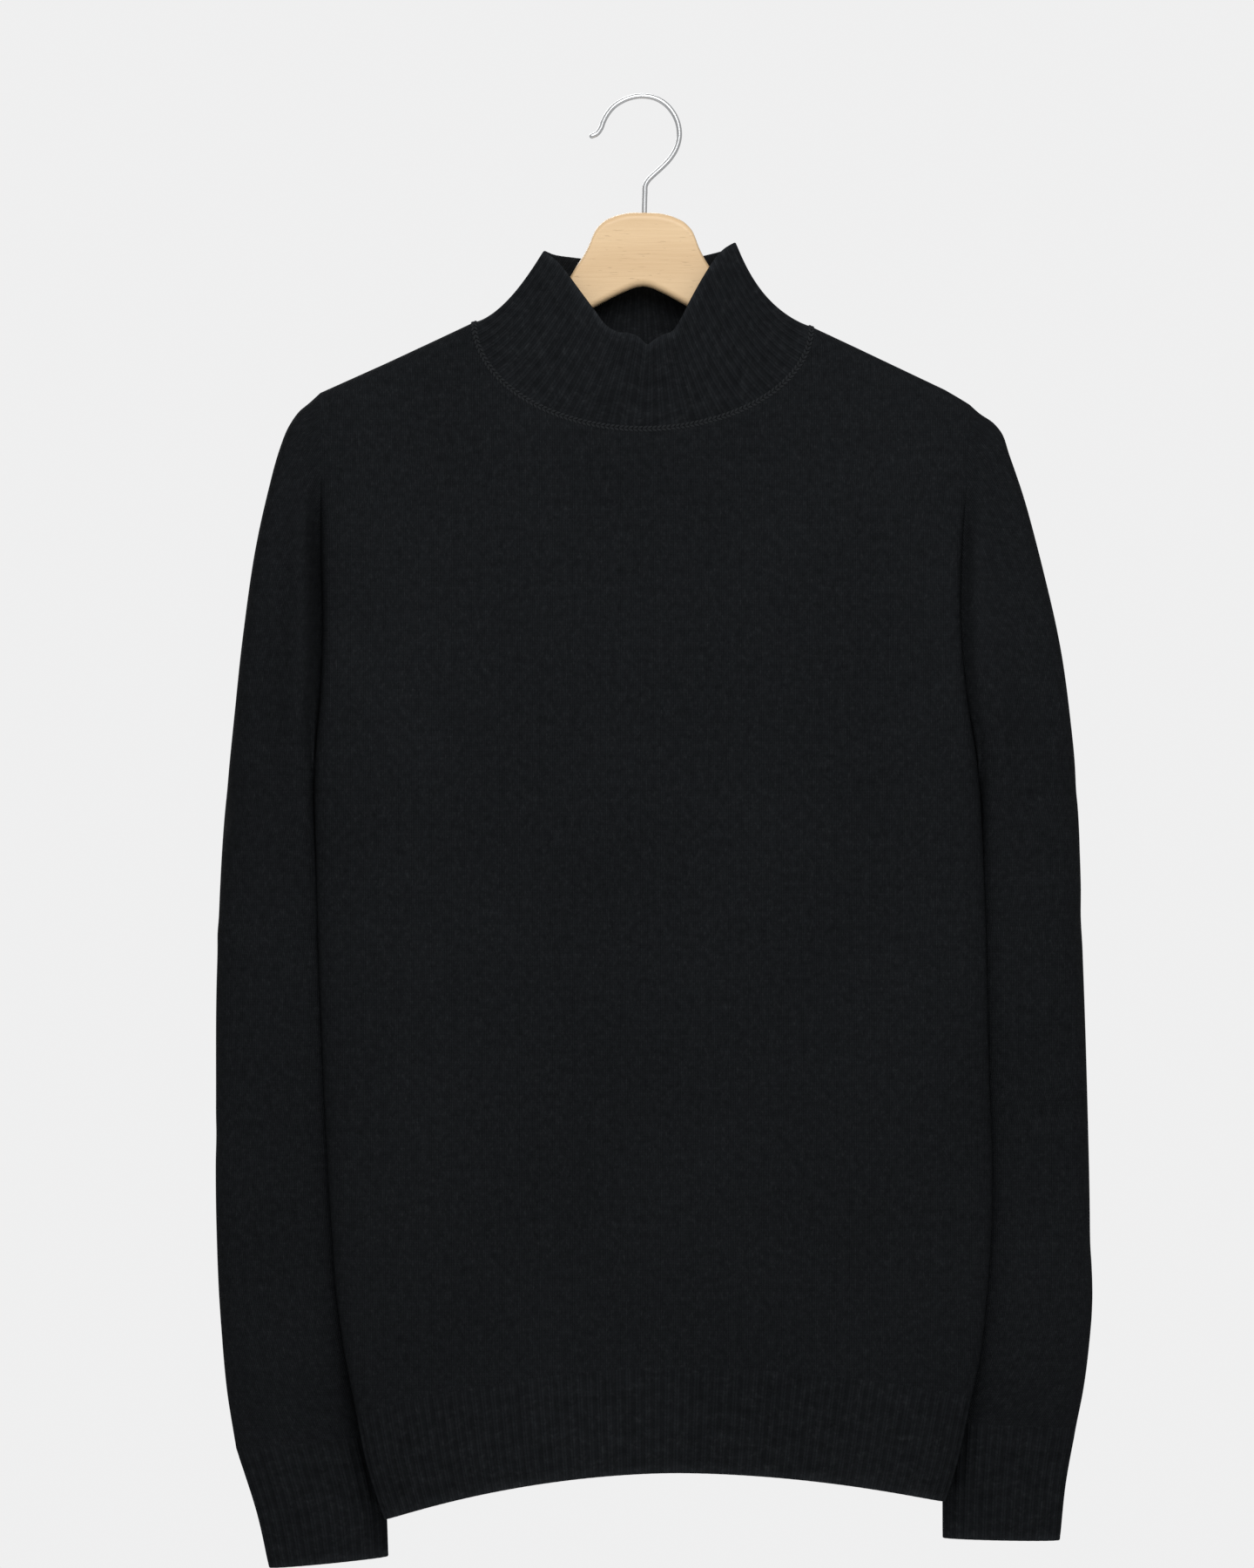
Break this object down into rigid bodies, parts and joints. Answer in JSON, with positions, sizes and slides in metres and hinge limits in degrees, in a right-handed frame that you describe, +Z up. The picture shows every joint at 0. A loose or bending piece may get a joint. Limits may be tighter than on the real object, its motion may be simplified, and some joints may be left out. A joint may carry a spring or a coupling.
{
  "type": "turtleneck sweater on a wooden hanger",
  "caption": "Fine-knit charcoal turtleneck sweater with ribbed stand-up collar, cuffs and hem, hanging front-on from a pale wooden hanger with a steel wire hook",
  "frame": {"origin": "on the inside of the hook's bend, straight above its stem, where the rail bears", "axes": "+Z up, +Y from the front to the back, +X to the right as the front is looked at"},
  "size_m": [0.5013, 0.0797, 0.8467],
  "materials": {
    "knit": "near-black charcoal fine-gauge plain knit, matt, with faint paler flecks",
    "rib_knit": "the same yarn knitted in one-by-one ribs, matt",
    "hanger_wood": "pale smooth wood under a satin lacquer",
    "hook_steel": "bright steel wire"
  },
  "bodies": {
    "root": {"front": "knit", "back": "knit", "sleeve_left": "knit", "sleeve_right": "knit", "collar": "rib_knit", "cuff_left": "rib_knit", "cuff_right": "rib_knit", "hem_front": "rib_knit", "hem_back": "rib_knit", "hanger": "hanger_wood", "hook": "hook_steel"}
  },
  "joints": []
}
